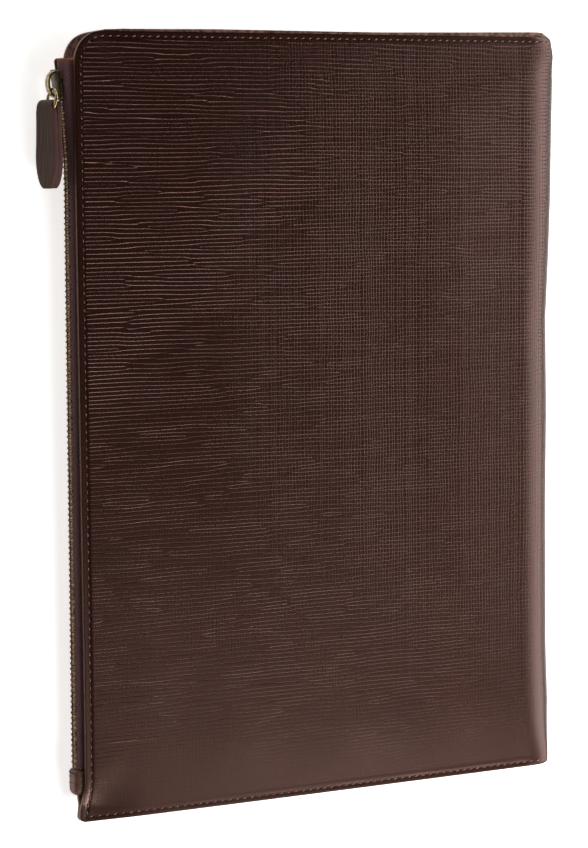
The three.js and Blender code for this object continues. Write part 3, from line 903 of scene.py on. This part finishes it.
hole_places = walk(stitch_corners(), STITCH_PITCH)
thread_bm = bmesh.new()
hole_shade_bm = bmesh.new()
for wall in ("front", "back"):
    for a, b in zip(hole_places, hole_places[1:]):
        start, _ = wall_frame(wall, *a)
        end, _ = wall_frame(wall, *b)
        _, normal = wall_frame(wall, *((a + b) / 2))
        slanted = Matrix.Rotation(math.radians(THREAD["slant_deg"]), 3, normal) @ (end - start)
        sizes = (THREAD["length"], THREAD["width"], THREAD["height"])
        add_ball(thread_bm, (start + end) / 2 + normal * THREAD["above"], slanted, normal, sizes)
        # painted shade: a flat dark ball at each needle hole stands for the shade inside it
        add_ball(hole_shade_bm, start, end - start, normal, (HOLE["length"], HOLE["width"], HOLE["height"]))
thread = waxed_thread()
hole_shade = needle_hole_shade()
finish_piece("stitch_threads", thread_bm, "leather_shell", "leather", thread)
finish_piece("needle_hole_shades", hole_shade_bm, "leather_shell", "leather", hole_shade)
print(len(hole_places), "holes in each wall")

# %% [markdown]
# ## Zip tapes
#
# Each half of the zip hangs on a woven tape. The tape lies flat under the leather's edge, turns over it and
# slopes out to the teeth. Towards the top it leans away from the leather, and its end is folded back and
# tacked. A grid is bent along that section and given its thickness, as the leather sheet is.

# %% Sizes of the zip
# all measured from the leather's zip edge and the middle of the chain
ZIP_PLACE = Vector((ZIP_EDGE, 0.0, 6.4))
CHAIN = {"x": -0.8, "bottom": -146.2, "top": 148.6, "pitch": 2.4, "first_front": 0.72, "first_back": 1.92}
LEAN = {"start": 100.0, "end": 157.0, "reach": 4.0}
TAPE = {"thickness": 0.8, "under": 8.0, "bottom": -146.8, "top": 157.0, "tail": 5.0, "fold": 1.05}
TAPE_STEPS = {"turn": 6, "tail": 3}
# how far below its top the tape starts to show the tacked end's colour, and where it shows nothing else
TACKED = {"start": 2.2, "full": 0.8}
# the tape's section, from under the leather to the teeth: x and the distance from the chain's middle
TAPE_SECTION = (
    (8.0, 3.9), (4.0, 3.9), (1.4, 3.9), (0.7, 3.88), (0.1, 3.72), (-0.4, 3.42), (-0.8, 3.0), (-1.2, 2.45),
    (-1.55, 1.9), (-1.8, 1.35),
)
TAPE_ROW = 2.0


def lean(y):
    return LEAN["reach"] * clamp((y - LEAN["start"]) / (LEAN["end"] - LEAN["start"])) ** 2


def tape_point(section, y, side):
    """A point of the tape: the part by the teeth leans out with them, the part under the leather doesn't."""
    x, z = section
    share = 1 - smoothstep(x, 0.0, TAPE["under"])
    return ZIP_PLACE + Vector((x - lean(y) * share, y, side * z))


print("chain", CHAIN["top"] - CHAIN["bottom"], "mm long")

# %% Woven tapes
TWILL = {"pitch_mm": 1.07, "slant": 0.75, "depth_mm": 0.12, "yarn_mm": 0.5}
TWILL_SHADE = {"rib": 0.7, "yarn": 0.4}
TWILL_ROUGHNESS = 0.72
TWILL_SHEEN = 0.15


def zip_twill():
    """Dark violet-brown tape with the slanting ribs of a twill weave and a dull sheen."""
    made, tree, shader = new_material("zip_twill_tape")
    place = add_node(tree, "ShaderNodeAttribute", attribute_name="tape").outputs["Vector"]
    turned = add_node(tree, "ShaderNodeAttribute", attribute_name="turned").outputs["Fac"]
    split = add_node(tree, "ShaderNodeSeparateXYZ", {0: place})
    slanted = add_node(
        tree,
        "ShaderNodeMath",
        {0: split.outputs["X"], 1: TWILL["slant"], 2: split.outputs["Y"]},
        operation="MULTIPLY_ADD",
    )
    turns = add_node(
        tree,
        "ShaderNodeMath",
        {0: slanted.outputs[0], 1: 2 * math.pi / (TWILL["pitch_mm"] * MM)},
        operation="MULTIPLY",
    )
    rib = add_node(tree, "ShaderNodeMath", {0: turns.outputs[0]}, operation="SINE")
    yarn = add_node(
        tree, "ShaderNodeTexNoise", {"Vector": place, "Scale": 1 / (TWILL["yarn_mm"] * MM), "Detail": 3.0}
    )
    ribbed = add_node(
        tree,
        "ShaderNodeMapRange",
        {"Value": rib.outputs[0], "From Min": -1.0, "To Min": 0.0, "To Max": TWILL_SHADE["rib"]},
    )
    shade = add_node(
        tree,
        "ShaderNodeMath",
        {0: yarn.outputs["Fac"], 1: TWILL_SHADE["yarn"], 2: ribbed.outputs["Result"]},
        operation="MULTIPLY_ADD",
    )
    woven = add_node(
        tree,
        "ShaderNodeMix",
        {"Factor": shade.outputs[0], MIX_A: linear("#2f1b22"), MIX_B: linear("#7f5a5a")},
        data_type="RGBA",
    )
    tacked = add_node(
        tree,
        "ShaderNodeMix",
        {"Factor": turned, MIX_A: woven.outputs[MIX_RESULT], MIX_B: linear("#7a4c3c")},
        data_type="RGBA",
    )
    bump = add_node(
        tree,
        "ShaderNodeBump",
        {"Strength": 1.0, "Distance": TWILL["depth_mm"] * MM, "Height": shade.outputs[0]},
    )
    tree.links.new(tacked.outputs[MIX_RESULT], shader.inputs["Base Color"])
    tree.links.new(bump.outputs["Normal"], shader.inputs["Normal"])
    shader.inputs["Roughness"].default_value = TWILL_ROUGHNESS
    shader.inputs["IOR"].default_value = DULL_IOR
    shader.inputs["Sheen Weight"].default_value = TWILL_SHEEN
    return made


def tape_rows():
    """Pairs of a height and a step back behind the tape: up it, round its top fold and down the tail."""
    count = round((TAPE["top"] - TAPE["bottom"]) / TAPE_ROW)
    up = [(lerp(TAPE["bottom"], TAPE["top"], k / count), 0.0) for k in range(count + 1)]
    turn = []
    for step in range(1, TAPE_STEPS["turn"] + 1):
        angle = math.pi * step / TAPE_STEPS["turn"]
        turn.append((TAPE["top"] + TAPE["fold"] * math.sin(angle), TAPE["fold"] * (1 - math.cos(angle))))
    tail = []
    for k in range(1, TAPE_STEPS["tail"] + 1):
        tail.append((TAPE["top"] - TAPE["tail"] * k / TAPE_STEPS["tail"], 2 * TAPE["fold"]))
    return up + turn + tail


def section_inward(section_index):
    """Direction from the tape's outer face inwards, in its section."""
    low = TAPE_SECTION[max(section_index - 1, 0)]
    high = TAPE_SECTION[min(section_index + 1, len(TAPE_SECTION) - 1)]
    run = Vector((high[0] - low[0], high[1] - low[1])).normalized()
    return Vector((-run.y, run.x))


def woven_tape(name, side, node, material):
    rows = tape_rows()
    bm = bmesh.new()
    bmesh.ops.create_grid(bm, x_segments=len(TAPE_SECTION) - 1, y_segments=len(rows) - 1, size=1.0)
    place_layer = bm.verts.layers.float_vector.new("tape")
    turned_layer = bm.verts.layers.float.new("turned")
    across = [0.0]
    for a, b in zip(TAPE_SECTION, TAPE_SECTION[1:]):
        across.append(across[-1] + math.dist(a, b))
    length = 0.0
    along = [0.0]
    for a, b in zip(rows, rows[1:]):
        length += math.dist(a, b)
        along.append(length)
    for vert in bm.verts:
        column = round((vert.co.x + 1) / 2 * (len(TAPE_SECTION) - 1))
        row = round((vert.co.y + 1) / 2 * (len(rows) - 1))
        y, back = rows[row]
        inward = section_inward(column) * back
        section = Vector(TAPE_SECTION[column]) + inward
        vert[place_layer] = Vector((across[column], along[row], 0.0)) * MM
        vert[turned_layer] = smoothstep(y, TAPE["top"] - TACKED["start"], TAPE["top"] - TACKED["full"])
        vert.co = tape_point(section, y, side)
    piece = finish_piece(name, bm, node, "zip_tape", material)
    weave = piece.modifiers.new("tape_thickness", "SOLIDIFY")
    weave.thickness = TAPE["thickness"] * MM
    weave.offset = 0.0
    return piece


twill = zip_twill()
woven_tape("zip_tape_front_woven", 1.0, "zip_tape_front", twill)
woven_tape("zip_tape_back_woven", -1.0, "zip_tape_back", twill)

# %% [markdown]
# ## Teeth
#
# A metal zip's tooth is a small clamp: two legs grip the tape's edge and a narrower head meshes with the
# teeth of the other row. One tooth is two boxes with rounded edges, set again and again at the zip's pitch.
# The two rows are half a pitch apart.

# %% Antique brass
PATINA = {"spot_mm": 1.6, "detail": 4.0, "contrast": SPOT_CONTRAST}
PATINA_ROUGHER = 0.15


def antique_brass(name, bright, dark, roughness):
    """Brass darkened in a bath, so that it shines warm where it is rubbed and is dull in between."""
    made, shader, share = mottled_finish(name, colours=(dark, bright), **PATINA)
    rough = add_node(
        made.node_tree,
        "ShaderNodeMapRange",
        {"Value": share, "To Min": roughness + PATINA_ROUGHER, "To Max": roughness},
    )
    made.node_tree.links.new(rough.outputs["Result"], shader.inputs["Roughness"])
    shader.inputs["Metallic"].default_value = 1.0
    return made


tooth_brass = antique_brass("antique_brass_teeth", "#a07c4c", "#33261a", 0.3)
slider_brass = antique_brass("antique_brass_slider", "#55462f", "#1f1914", 0.3)
rubbed_brass = antique_brass("rubbed_brass_wire", "#bfa674", "#6b5636", 0.2)
print("three tones of brass")

# %% Rows of teeth
# each box of a tooth: half thickness in x, half length along the zip, and from where to where across it
TOOTH_BOXES = {"legs": (1.45, 0.52, 1.0, 2.5), "head": (1.15, 0.46, -0.95, 1.1)}
TOOTH_ROUND = 0.14


def tooth_row(name, side, first, node):
    bm = bmesh.new()
    count = int((CHAIN["top"] - CHAIN["bottom"] - first) / CHAIN["pitch"]) + 1
    for k in range(count):
        y = CHAIN["bottom"] + first + k * CHAIN["pitch"]
        centre = ZIP_PLACE + Vector((CHAIN["x"] - lean(y), y, 0.0))
        for half_x, half_y, low_z, high_z in TOOTH_BOXES.values():
            near, far = sorted((side * low_z, side * high_z))
            add_box(bm, centre + Vector((-half_x, -half_y, near)), centre + Vector((half_x, half_y, far)))
    round_edges(bm, bm.edges, TOOTH_ROUND, 1)
    return finish_piece(name, bm, node, "antique_brass", tooth_brass)


tooth_row("teeth_row_front", 1.0, CHAIN["first_front"], "zip_teeth_front")
tooth_row("teeth_row_back", -1.0, CHAIN["first_back"], "zip_teeth_back")

# %% [markdown]
# ## Slider, bail and jump ring
#
# The slider is cast: two shield-shaped plates joined by a post, with low flanges that press the teeth
# together. An arched bail on its face carries a round wire ring, and the leather pull hangs from that. The
# bail is the outer half of an oval hoop, the ring a full turn of a small circle.

# %% Slider
SLIDER = {"y": 147.5, "length": 13.0, "half_top": 4.7, "half_bottom": 3.9, "half_inside": 3.0, "corner": 1.4}
SLIDER_ROUND = {"edge": 0.22, "edge_segments": 2, "corner_segments": 4}
PLATE = {"inner": 1.6, "outer": 2.7}
FLANGE = {"thickness": 0.8, "low": -5.3, "high": 2.5, "reach": 1.0, "in_plate": 0.1}
POST = {"low": 1.9, "high": 5.5, "half_width": 1.2, "in_plate": 0.2}
slider_end = SLIDER["length"] / 2
slider_turn = math.atan2(lean(SLIDER["y"] + slider_end) - lean(SLIDER["y"] - slider_end), SLIDER["length"])
slider_place = ZIP_PLACE + Vector((CHAIN["x"] - lean(SLIDER["y"]), SLIDER["y"], 0.0))
SLIDER_MATRIX = Matrix.Translation(slider_place) @ Matrix.Rotation(slider_turn, 4, "Z")


def add_plate(bm, near, far, half_top, half_bottom):
    """A shield plate across the chain: wide at the top, narrower below, with rounded corners."""
    end = SLIDER["length"] / 2
    verts = add_box(bm, (near, -end, -half_top), (far, end, half_top))
    for vert in verts:
        if vert.co.y < 0:
            vert.co.z *= half_bottom / half_top
    through = (far - near) / 2
    corners = [e for v in verts for e in v.link_edges if abs(e.verts[0].co.x - e.verts[1].co.x) > through]
    round_edges(bm, set(corners), SLIDER["corner"], SLIDER_ROUND["corner_segments"])


slider_bm = bmesh.new()
add_plate(slider_bm, -PLATE["outer"], -PLATE["inner"], SLIDER["half_top"], SLIDER["half_bottom"])
add_plate(slider_bm, PLATE["inner"], PLATE["outer"], SLIDER["half_inside"], SLIDER["half_inside"])
add_box(
    slider_bm,
    (-PLATE["inner"] - POST["in_plate"], POST["low"], -POST["half_width"]),
    (PLATE["inner"] + POST["in_plate"], POST["high"], POST["half_width"]),
)
for side in (-1.0, 1.0):
    near = side * (SLIDER["half_bottom"] - FLANGE["thickness"])
    far = side * SLIDER["half_bottom"]
    add_box(
        slider_bm,
        (-PLATE["outer"] + FLANGE["in_plate"], FLANGE["low"], min(near, far)),
        (-PLATE["inner"] + FLANGE["reach"], FLANGE["high"], max(near, far)),
    )
round_edges(slider_bm, sharp_edges(slider_bm), SLIDER_ROUND["edge"], SLIDER_ROUND["edge_segments"])
bmesh.ops.transform(slider_bm, matrix=SLIDER_MATRIX, verts=slider_bm.verts)
finish_piece("slider_body", slider_bm, "zip_slider", "antique_brass", slider_brass)

# %% Bail on the slider
BAIL = {"y": 0.2, "half_length": 5.9, "rise": 4.0, "bar": 1.05, "half_width": 1.9, "foot": 0.3}
BAIL_ROUND = {"width": 0.36, "segments": 3}
BAIL_EDGE_DEG = 60
HOOP_SEGMENTS = 48


def bail_mesh():
    bm = bmesh.new()
    hoops = []
    for inset in (0.0, BAIL["bar"]):
        matrix = Matrix.Diagonal((BAIL["rise"] - inset, BAIL["half_length"] - inset, 1.0, 1.0))
        made = bmesh.ops.create_circle(bm, segments=HOOP_SEGMENTS, radius=1.0, cap_ends=False, matrix=matrix)
        hoops += list({e for v in made["verts"] for e in v.link_edges})
    bmesh.ops.bridge_loops(bm, edges=hoops)
    whole = list(bm.verts) + list(bm.edges) + list(bm.faces)
    bmesh.ops.bisect_plane(
        bm, geom=whole, plane_co=(BAIL["foot"], 0, 0), plane_no=(1, 0, 0), clear_outer=True
    )
    bmesh.ops.translate(bm, vec=(0, 0, -BAIL["half_width"]), verts=bm.verts)
    grown = bmesh.ops.extrude_face_region(bm, geom=list(bm.faces))["geom"]
    raised = [v for v in grown if isinstance(v, bmesh.types.BMVert)]
    bmesh.ops.translate(bm, vec=(0, 0, 2 * BAIL["half_width"]), verts=raised)
    bmesh.ops.recalc_face_normals(bm, faces=bm.faces)
    round_edges(bm, sharp_edges(bm, BAIL_EDGE_DEG), **BAIL_ROUND)
    bmesh.ops.translate(bm, vec=(-PLATE["outer"], BAIL["y"], 0), verts=bm.verts)
    bmesh.ops.transform(bm, matrix=SLIDER_MATRIX, verts=bm.verts)
    return bm


finish_piece("slider_bail", bail_mesh(), "zip_slider", "antique_brass", rubbed_brass)

# %% Jump ring
RING = {"radius": 4.85, "wire": 0.65, "steps": 44, "sides": 10, "play": 0.3, "lift": 2.8}
# where the ring goes through the bail: out from the slider's plate and down from its middle
RING_HOLE = {"out": 2.2, "down": 1.5}
PULL_OUT = 10.0
ring_hole = SLIDER_MATRIX @ Vector((-PLATE["outer"] - RING_HOLE["out"], -RING_HOLE["down"], 0.0))
pull_x = ZIP_EDGE - PULL_OUT
ring_bm = bmesh.new()
wire_place = Matrix.Translation((0, RING["radius"], 0))
wire = bmesh.ops.create_circle(
    ring_bm, segments=RING["sides"], radius=RING["wire"], matrix=wire_place
)["verts"]
bmesh.ops.spin(
    ring_bm,
    geom=wire + list(ring_bm.edges),
    cent=(0, 0, 0),
    axis=(1, 0, 0),
    angle=2 * math.pi,
    steps=RING["steps"],
    use_merge=True,
)
ring_turn = math.atan2(pull_x - ring_hole.x, 2 * RING["radius"])
ring_y = ring_hole.y + RING["play"] - RING["radius"]
ring_centre = Vector(((ring_hole.x + pull_x) / 2, ring_y, ZIP_PLACE.z + RING["lift"]))
ring_matrix = Matrix.Translation(ring_centre) @ Matrix.Rotation(ring_turn, 4, "Z")
bmesh.ops.transform(ring_bm, matrix=ring_matrix, verts=ring_bm.verts)
finish_piece("jump_ring", ring_bm, "pull_ring", "antique_brass", rubbed_brass)

# %% [markdown]
# ## Leather pull
#
# The pull is one strip of smooth leather folded over the ring, glued to itself and cut to a tongue with a
# round end. Its face is worn to long streaks, its edge shows the two layers with a dark line between them.
# The strip is a grid bent round the ring, like the sheet of the folder.

# %% Strip of the pull
PULL = {"thickness": 2.2, "half_gap": 1.15, "loop": 1.35, "top": 141.0, "end": 103.4, "middle_z": 7.8}
# how far above the end each layer stops, and over what length the layers part towards the ring
PULL_LAYERS = {"outer_end": 0.2, "inner_end": 0.3, "parting": 8}
# half width at each height of the tongue
PULL_WIDTH = (
    (103.4, 1.0), (103.7, 1.8), (104.4, 2.9), (105.6, 4.0), (107.4, 4.9), (110.0, 5.7), (113.0, 6.3),
    (117.0, 6.5), (123.0, 6.1), (130.0, 5.9), (135.5, 5.7), (138.0, 5.2), (139.6, 4.5), (140.5, 3.7),
    (141.0, 2.9),
)
PULL_TURN_DEG = 16.0
PULL_STEPS = {"straight": 36, "turn": 8, "across": 10}
PULL_EDGE = {"width": 0.55, "angle_deg": 50}
STREAK = {"width_mm": 0.9, "length_mm": 14, "from": 0.3, "to": 0.7, "strength": 0.7, "depth_mm": 0.15}
STREAK_ROUGHNESS = 0.5


def pull_path():
    """Places of the strip's middle from the outer layer's end over the ring to the inner layer's end."""
    turn_y = PULL["top"] - PULL["loop"] - PULL["thickness"] / 2
    low_ends = (PULL["end"] + PULL_LAYERS["outer_end"], PULL["end"] + PULL_LAYERS["inner_end"])
    layers = []
    for low in low_ends:
        layer = []
        for k in range(PULL_STEPS["straight"] + 1):
            close_at_ends = (1 - math.cos(math.pi * k / PULL_STEPS["straight"])) / 2
            y = lerp(low, turn_y, close_at_ends)
            parted = smoothstep(y, turn_y - PULL_LAYERS["parting"], turn_y)
            layer.append((lerp(PULL["half_gap"], PULL["loop"], parted), y))
        layers.append(layer)
    turn = []
    for k in range(1, PULL_STEPS["turn"]):
        angle = math.pi * k / PULL_STEPS["turn"]
        turn.append((PULL["loop"] * math.cos(angle), turn_y + PULL["loop"] * math.sin(angle)))
    outer = [Vector((-x, y)) for x, y in layers[0]]
    inner = [Vector((x, y)) for x, y in reversed(layers[1])]
    return outer + [Vector((-x, y)) for x, y in turn] + inner


def streaked_leather():
    """Smooth brown leather rubbed to long grey-brown streaks."""
    made, tree, shader = new_material("smooth_pull_leather")
    place = add_node(tree, "ShaderNodeAttribute", attribute_name="strip").outputs["Vector"]
    scale = (1 / (STREAK["width_mm"] * MM), 1 / (STREAK["length_mm"] * MM), 0.0)
    stretched = add_node(tree, "ShaderNodeVectorMath", {0: place, 1: scale}, operation="MULTIPLY")
    streaks = add_node(
        tree, "ShaderNodeTexNoise", {"Vector": stretched.outputs[0], "Scale": 1.0, "Detail": 4.0}
    )
    share = add_node(
        tree,
        "ShaderNodeMapRange",
        {"Value": streaks.outputs["Fac"], "From Min": STREAK["from"], "From Max": STREAK["to"]},
    ).outputs["Result"]
    colour = add_node(
        tree,
        "ShaderNodeMix",
        {"Factor": share, MIX_A: linear("#281812"), MIX_B: linear("#4a362c")},
        data_type="RGBA",
    )
    bump = add_node(
        tree,
        "ShaderNodeBump",
        {"Strength": STREAK["strength"], "Distance": STREAK["depth_mm"] * MM, "Height": share},
    )
    tree.links.new(colour.outputs[MIX_RESULT], shader.inputs["Base Color"])
    tree.links.new(bump.outputs["Normal"], shader.inputs["Normal"])
    shader.inputs["Roughness"].default_value = STREAK_ROUGHNESS
    shader.inputs["IOR"].default_value = DULL_IOR
    shader.inputs["Specular Tint"].default_value = linear(WARM_GLOSS)
    return made


path = pull_path()
path_length = [0.0]
for a, b in zip(path, path[1:]):
    path_length.append(path_length[-1] + (b - a).length)
pull_bm = bmesh.new()
bmesh.ops.create_grid(pull_bm, x_segments=PULL_STEPS["across"], y_segments=len(path) - 1, size=1.0)
strip_layer = pull_bm.verts.layers.float_vector.new("strip")
for vert in pull_bm.verts:
    across = vert.co.x
    row = round((vert.co.y + 1) / 2 * (len(path) - 1))
    half_width = table_value(PULL_WIDTH, path[row].y)
    vert[strip_layer] = Vector((across * half_width, path_length[row], 0.0)) * MM
    vert.co = Vector((path[row].x, path[row].y, across * half_width))
turned_pull = Matrix.Rotation(math.radians(PULL_TURN_DEG), 4, "Y")
pull_matrix = Matrix.Translation((pull_x, 0.0, PULL["middle_z"])) @ turned_pull
bmesh.ops.transform(pull_bm, matrix=pull_matrix, verts=pull_bm.verts)
pull_leather = streaked_leather()
pull_edge = painted_edge("dark_painted_edge", "#2a100c", "#4f281f", 0.65)
pull_piece = finish_piece("pull_leather", pull_bm, "pull_tab", "leather", pull_leather, pull_edge)
pull_thickness = pull_piece.modifiers.new("strip_thickness", "SOLIDIFY")
pull_thickness.thickness = PULL["thickness"] * MM
pull_thickness.offset = 0.0
pull_thickness.material_offset_rim = 1
round_cut_edges(pull_piece, "rubbed_edges", **PULL_EDGE)

# %% [markdown]
# ## End tab
#
# A small leather tab closes the lower end of the zip. It is folded over the chain and sewn across twice. It
# could be bent from a strip as the pull is, but only its rounded outside shows, so it is a box whose edges
# are rounded in turn, the lower end most.

# %% End tab
END_TAB = {"top": -147.2, "bottom": -158.6, "outer": -3.1, "inner": 1.6, "half": 4.3}
# width and segments of each rounding
TAB_ROUND = {"bottom": (3.2, 6), "top": (1.0, 3), "outer": (2.0, 4), "rest": (0.3, 2)}
TAB_EDGE_DEG = 50
RIM_ANGLE = 1.0
ACROSS_MM = 1.0
SAME_PLACE_MM = 0.01
TAB_STITCH = {"rows": (-150.6, -153.4), "length": 2.0, "width": 0.5, "height": 0.45, "step": 2.4}
tab_bm = bmesh.new()
tab_low = ZIP_PLACE + Vector((END_TAB["outer"], END_TAB["bottom"], -END_TAB["half"]))
tab_high = ZIP_PLACE + Vector((END_TAB["inner"], END_TAB["top"], END_TAB["half"]))
add_box(tab_bm, tab_low, tab_high)


def tab_edges(axis, place):
    """Edges of the tab that lie at one place along an axis."""
    return [e for e in tab_bm.edges if all(abs(v.co[axis] - place) < SAME_PLACE_MM for v in e.verts)]


def across_tab(edges):
    """Those of some edges that run from the tab's outside to its inside."""
    return [e for e in edges if abs(e.verts[0].co.x - e.verts[1].co.x) > ACROSS_MM]


round_edges(tab_bm, across_tab(tab_edges(1, tab_low.y)), *TAB_ROUND["bottom"])
round_edges(tab_bm, across_tab(tab_edges(1, tab_high.y)), *TAB_ROUND["top"])
outer_rim = [e for e in tab_edges(0, tab_low.x) if e.calc_face_angle(0.0) > RIM_ANGLE]
round_edges(tab_bm, outer_rim, *TAB_ROUND["outer"])
round_edges(tab_bm, sharp_edges(tab_bm, TAB_EDGE_DEG), *TAB_ROUND["rest"])
tab_leather = painted_edge("smooth_tab_leather", "#452a1f", "#7a5848", 0.5)
finish_piece("end_tab_leather", tab_bm, "zip_end_tab", "leather", tab_leather)

# %% Stitches across the end tab
tab_thread_bm = bmesh.new()
thread_sizes = (TAB_STITCH["length"], TAB_STITCH["width"], TAB_STITCH["height"])
for y in TAB_STITCH["rows"]:
    for step in (-1, 0, 1):
        place = Vector((tab_low.x, y, ZIP_PLACE.z + step * TAB_STITCH["step"]))
        add_ball(tab_thread_bm, place, Vector((0, 0, 1)), Vector((-1, 0, 0)), thread_sizes)
    for side in (-1.0, 1.0):
        place = Vector(((tab_low.x + tab_high.x) / 2, y, ZIP_PLACE.z + side * END_TAB["half"]))
        add_ball(tab_thread_bm, place, Vector((1, 0, 0)), Vector((0, 0, side)), thread_sizes)
finish_piece("end_tab_stitches", tab_thread_bm, "zip_end_tab", "leather", thread)

# %% [markdown]
# ## Last update
#
# The view layer is brought up to date.

# %% Update the view layer
bpy.context.view_layer.update()
